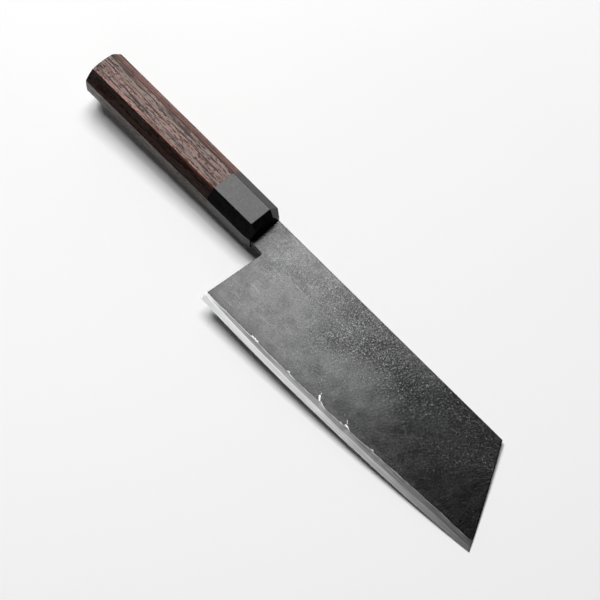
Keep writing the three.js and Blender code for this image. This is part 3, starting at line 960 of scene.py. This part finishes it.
def rounded_ring(corners, radius):
    """A closed ring that follows a polygon and rounds its corners."""
    points = [Vector(corner) for corner in corners]
    count = len(points)
    ring = []
    for i in range(count):
        before, here, after = points[i - 1], points[i], points[(i + 1) % count]
        inward, outward = (before - here).normalized(), (after - here).normalized()
        half_angle = inward.angle(outward) / 2
        reach = radius / math.tan(half_angle)
        centre = here + (inward + outward).normalized() * (radius / math.sin(half_angle))
        start, end = here + inward * reach - centre, here + outward * reach - centre
        sweep = start.angle_signed(end)
        for k in range(CORNER_POINTS):
            ring.append(centre + rotated(start, -sweep * k / (CORNER_POINTS - 1)))
        next_start = after + (here - after).normalized() * reach
        leave = centre + end
        for k in range(1, SIDE_POINTS):
            ring.append(leave.lerp(next_start, k / SIDE_POINTS))
    return np.array([tuple(point) for point in ring])


def rotated(vector, angle):
    cosine, sine = math.cos(angle), math.sin(angle)
    return Vector((cosine * vector.x - sine * vector.y, sine * vector.x + cosine * vector.y))


def at(x, ring):
    """A ring of (y, z) points placed at x."""
    return np.column_stack([np.full(len(ring), x), ring])


def circle_like(ring, radius):
    """A circle with its points at the same bearings as another ring's."""
    bearing = np.arctan2(ring[:, 1], ring[:, 0])
    return np.column_stack([np.cos(bearing), np.sin(bearing)]) * radius


def box_like(ring, half_y, half_z):
    """A rectangle with its points at the same bearings as another ring's."""
    reach = np.maximum(np.abs(ring[:, 0]) / half_y, np.abs(ring[:, 1]) / half_z)
    return ring / reach[:, None]


def strip(a, b, sides):
    """The faces between two rings, whose first points are numbers a and b."""
    return [(a + i, a + (i + 1) % sides, b + (i + 1) % sides, b + i) for i in range(sides)]


def tube(name, rings, materials, closed_ends=True):
    """A body through rings of equal length: closed by fans, or its last ring joins its first."""
    sides = len(rings[0])
    base = (len(rings) - 1) * sides
    vertices = np.concatenate(rings)
    faces = []
    for first in range(0, base, sides):
        faces += strip(first, first + sides, sides)
    if closed_ends:
        start, end = len(vertices), len(vertices) + 1
        for i in range(sides):
            j = (i + 1) % sides
            faces.append((start, j, i))
            faces.append((end, base + i, base + j))
        vertices = np.concatenate([vertices, [rings[0].mean(0), rings[-1].mean(0)]])
    else:
        faces += strip(base, 0, sides)
    piece = new_object(name, vertices, faces, materials)
    weighted = piece.modifiers.new("weighted", "WEIGHTED_NORMAL")
    weighted.keep_sharp = True
    weighted.weight = 100
    piece.data.set_sharp_from_angle(angle=math.radians(SHARP_ANGLE))
    return piece


ARRIS_RADIUS = 0.45
JOINT_GAP = 0.02
# The grip's rings between the butt and the joint, and how far from each they start.
WOOD_STATIONS, WOOD_FROM_BUTT, WOOD_FROM_JOINT = 48, 2.2, 0.4
HAND_PLANED, PLANED_LENGTH, PLANED_SEED = 0.003, 24, 4.0
# The butt: an eased edge and a crown that falls away to the corners, a little inside the CAD's.
BUTT_EDGE = 0.35
CROWN_START = 9.0
CROWN_DROP = 0.9
CROWN_CORNER = 13.0
BUTT_SHORT = 0.17
BUTT_DRAWN_IN = 0.997
BUTT_SCALES = (0.08, 0.3, 0.5, 0.66, 0.78, 0.87, 0.94)
EASE_SHARES = (0.2, 0.45, 0.75, 1.0)
# The ferrule's rings along its flats, and down its front chamfers.
HORN_STATIONS, HORN_FROM_JOINT, HORN_FROM_CHAMFER = 14, 0.3, 0.35
CHAMFER_SHARES = (0.0, 0.035, 0.5, 0.965, 1.0)
FRONT_INSET_SHARE = 0.06


def crowned(ring, back=0.0):
    """A ring on the butt's crowned end, which falls away outside CROWN_START from the axis."""
    out = np.maximum(np.hypot(ring[:, 0], ring[:, 1]) - CROWN_START, 0)
    drop = CROWN_DROP * (out / (CROWN_CORNER - CROWN_START)) ** 2
    return np.column_stack([-HANDLE_LENGTH + BUTT_SHORT + drop + back, ring])


def hand_shaped(ring, x):
    """A ring drawn in by a few hundredths, as hand-planed flats are."""
    drift = noise.noise(Vector((x / PLANED_LENGTH, PLANED_SEED, 0.5)))
    return ring * (1 - HAND_PLANED * (1 + drift))


def section(x, *chamfers):
    """The handle's octagon at x with rounded arrises, drawn in by any chamfers."""
    return rounded_ring(octagon_corners(x, *chamfers), ARRIS_RADIUS)


def add_grip(material):
    """The octagonal wooden grip, with its crowned butt and the bore for the dowel."""
    joint = -FERRULE_LENGTH - JOINT_GAP
    full = section(-HANDLE_LENGTH) * BUTT_DRAWN_IN
    eased = section(-HANDLE_LENGTH, BUTT_EDGE, BUTT_EDGE, BUTT_EDGE) * BUTT_DRAWN_IN
    rings = [crowned(eased * scale) for scale in (*BUTT_SCALES, 1.0)]
    for share in EASE_SHARES:
        back = BUTT_EDGE * (1 - math.sqrt(1 - share ** 2))
        rings.append(crowned(lerp(eased, full, math.sin(share * math.pi / 2)), back))
    first, last = -HANDLE_LENGTH + WOOD_FROM_BUTT, joint - WOOD_FROM_JOINT
    for x in np.linspace(first, last, WOOD_STATIONS):
        rings.append(at(x, hand_shaped(section(x), x)))
    front = section(joint)
    bore = circle_like(front, BORE_RADIUS)
    rings += [at(joint, front), at(joint, bore), at(-BORE_DEPTH, bore)]
    rings.append(at(-BORE_DEPTH - BORE_POINT, bore * BORE_POINT_SHARE))
    piece = tube("grip", rings, [material])
    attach(piece, "root")
    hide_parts("handle_wood")


def add_ferrule(material):
    """The horn collar: bored from behind, chamfered in front, with a slot for the tang."""
    joint = -FERRULE_LENGTH + JOINT_GAP
    start = -CHAMFER_LENGTH
    back = section(joint)
    bore = circle_like(back, BORE_RADIUS)
    rings = [at(-FRONT_WALL, bore), at(joint, bore), at(joint, back)]
    for x in np.linspace(joint + HORN_FROM_JOINT, start - HORN_FROM_CHAMFER, HORN_STATIONS):
        rings.append(at(x, section(x)))
    for share in CHAMFER_SHARES:
        x = start * (1 - share)
        chamfers = (CHAMFER_SPINE * share, CHAMFER_EDGE * share, CHAMFER_FACE * share)
        rings.append(at(x, section(x, *chamfers)))
    front = rings[-1][:, 1:]
    slot = box_like(front, SLOT_HALF_HEIGHT, SLOT_HALF_WIDTH)
    rings.append(at(0.0, lerp(front, slot, FRONT_INSET_SHARE)))
    rings += [at(0.0, slot), at(-FRONT_WALL, slot)]
    piece = tube("horn_ferrule", rings, [material], closed_ends=False)
    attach(piece, "root")
    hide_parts("ferrule")


add_grip(dark_hardwood())
add_ferrule(black_horn())


# ---------------------------------------------------------------- hidden pieces

def repaint(node, material):
    """Gives a piece that is carried over from the CAD a better material."""
    frame["nodes"][node].material_slots[0].material = material


repaint("handle_dowel", pale_wood())
repaint("tang_bedding", clear_epoxy())
repaint("mouth_seal", sealing_wax())


# ---------------------------------------------------------------- table, light and air

FLOOR_HALF = 8.0
PALE = 0.9
FLOOR_NEAR_KEY = ((0.82, 0.82, 0.82), (0.84, 0.84, 0.84))
FLOOR_AWAY = (0.95, 0.95, 0.95)
AWAY_FROM_KEY = (0.707, -0.707, 0.0)
PAINT_REACH = 0.2
# The floor is lit by the lights up to the first distance, and only glows past the second.
FLOOR_LIT_TO, FLOOR_FADE_TO = 0.28, 0.9

# Level softboxes: height, and the lowest and highest x and y as a share of the height.
KEY = dict(height=1.35, x=(-0.98, -0.12), y=(0.18, 0.65), radiance=9.0)
FILL = dict(height=4.0, x=(-1.1, -0.5), y=(-0.11, 0.22), radiance=16.5)

# Soft panels in the distance, for the gloss in other views: direction and radiance.
PANELS = ((Vector((0.68, -0.68, 0.26)), 0.5), (Vector((-0.64, 0.64, 0.42)), 0.6))
PANEL_INNER, PANEL_OUTER = math.radians(12), math.radians(32)
# The pale band along the horizon: full up to one elevation, gone at the other.
HORIZON_FULL, HORIZON_END = math.radians(6.5), math.radians(8.5)


def add_floor():
    mesh = bpy.data.meshes.new("floor")
    h = FLOOR_HALF
    mesh.from_pydata([(-h, -h, 0), (h, -h, 0), (h, h, 0), (-h, h, 0)], [], [(0, 1, 2, 3)])
    floor = bpy.data.objects.new("floor", mesh)
    bpy.context.scene.collection.objects.link(floor)
    mesh.materials.append(pale_table())


def pale_table():
    """A matt pale table, painted a little paler away from the key light, to even it out.

    Far from the knife it glows as pale as it is near it, to the horizon.
    """
    s = Shader("pale_table")
    cloud = s.noise((3, 3, 3), detail=3.0)
    across = s.add("ShaderNodeVectorMath", operation="DOT_PRODUCT")
    s.feed(across.inputs[0], s.place)
    across.inputs[1].default_value = AWAY_FROM_KEY
    near_key = s.mix(s.ramp(cloud, 0.3, 0.7), *FLOOR_NEAR_KEY)
    away = s.ramp(across.outputs["Value"], -PAINT_REACH, PAINT_REACH)
    base = s.mix(away, near_key, FLOOR_AWAY)
    s.finish(Base_Color=base, Roughness=0.6, Specular_IOR_Level=0.2)
    reach = s.add("ShaderNodeVectorMath", operation="LENGTH")
    s.feed(reach.inputs[0], s.place)
    glow = s.add("ShaderNodeEmission")
    glow.inputs["Color"].default_value = (PALE, PALE, PALE, 1)
    blend = s.add("ShaderNodeMixShader")
    s.feed(blend.inputs[0], s.ramp(reach.outputs["Value"], FLOOR_LIT_TO, FLOOR_FADE_TO))
    s.feed(blend.inputs[1], s.bsdf.outputs[0])
    s.feed(blend.inputs[2], glow.outputs[0])
    s.feed(s.tree.nodes["Material Output"].inputs["Surface"], blend.outputs[0])
    return s.material


def add_softbox(name, height, x, y, radiance):
    """A level light of a given radiance, hidden from the camera; x and y are shares of height."""
    data = bpy.data.lights.new(name, "AREA")
    data.shape = "RECTANGLE"
    data.size = (x[1] - x[0]) * height
    data.size_y = (y[1] - y[0]) * height
    data.energy = radiance * math.pi * data.size * data.size_y
    light = bpy.data.objects.new(name, data)
    bpy.context.scene.collection.objects.link(light)
    light.location = (sum(x) / 2 * height, sum(y) / 2 * height, height)
    light.visible_camera = False


def add_world():
    """Dark air with a pale band along the horizon and the distant panels."""
    world = bpy.data.worlds.new("air")
    world.use_nodes = True
    tree = world.node_tree
    place = tree.nodes.new("ShaderNodeTexCoord").outputs["Generated"]

    def dot(towards):
        node = tree.nodes.new("ShaderNodeVectorMath")
        node.operation = "DOT_PRODUCT"
        tree.links.new(place, node.inputs[0])
        node.inputs[1].default_value = towards.normalized()
        return node.outputs["Value"]

    def ramp(value, low, high, to_low, to_high):
        node = tree.nodes.new("ShaderNodeMapRange")
        node.interpolation_type = "SMOOTHSTEP"
        tree.links.new(value, node.inputs["Value"])
        for key, number in zip(("From Min", "From Max", "To Min", "To Max"),
                               (low, high, to_low, to_high)):
            node.inputs[key].default_value = number
        return node.outputs["Result"]

    def add(a, b):
        node = tree.nodes.new("ShaderNodeMath")
        tree.links.new(a, node.inputs[0])
        tree.links.new(b, node.inputs[1])
        return node.outputs[0]

    outer, inner = math.cos(PANEL_OUTER), math.cos(PANEL_INNER)
    up = dot(Vector((0, 0, 1)))
    total = ramp(up, math.sin(HORIZON_FULL), math.sin(HORIZON_END), PALE, 0.0)
    for towards, radiance in PANELS:
        total = add(total, ramp(dot(towards), outer, inner, 0.0, radiance))
    background = tree.nodes["Background"]
    background.inputs["Color"].default_value = (1, 1, 1, 1)
    tree.links.new(total, background.inputs["Strength"])
    bpy.context.scene.world = world


add_floor()
add_softbox("key", **KEY)
add_softbox("fill", **FILL)
add_world()
bpy.context.scene.view_settings.view_transform = "Standard"
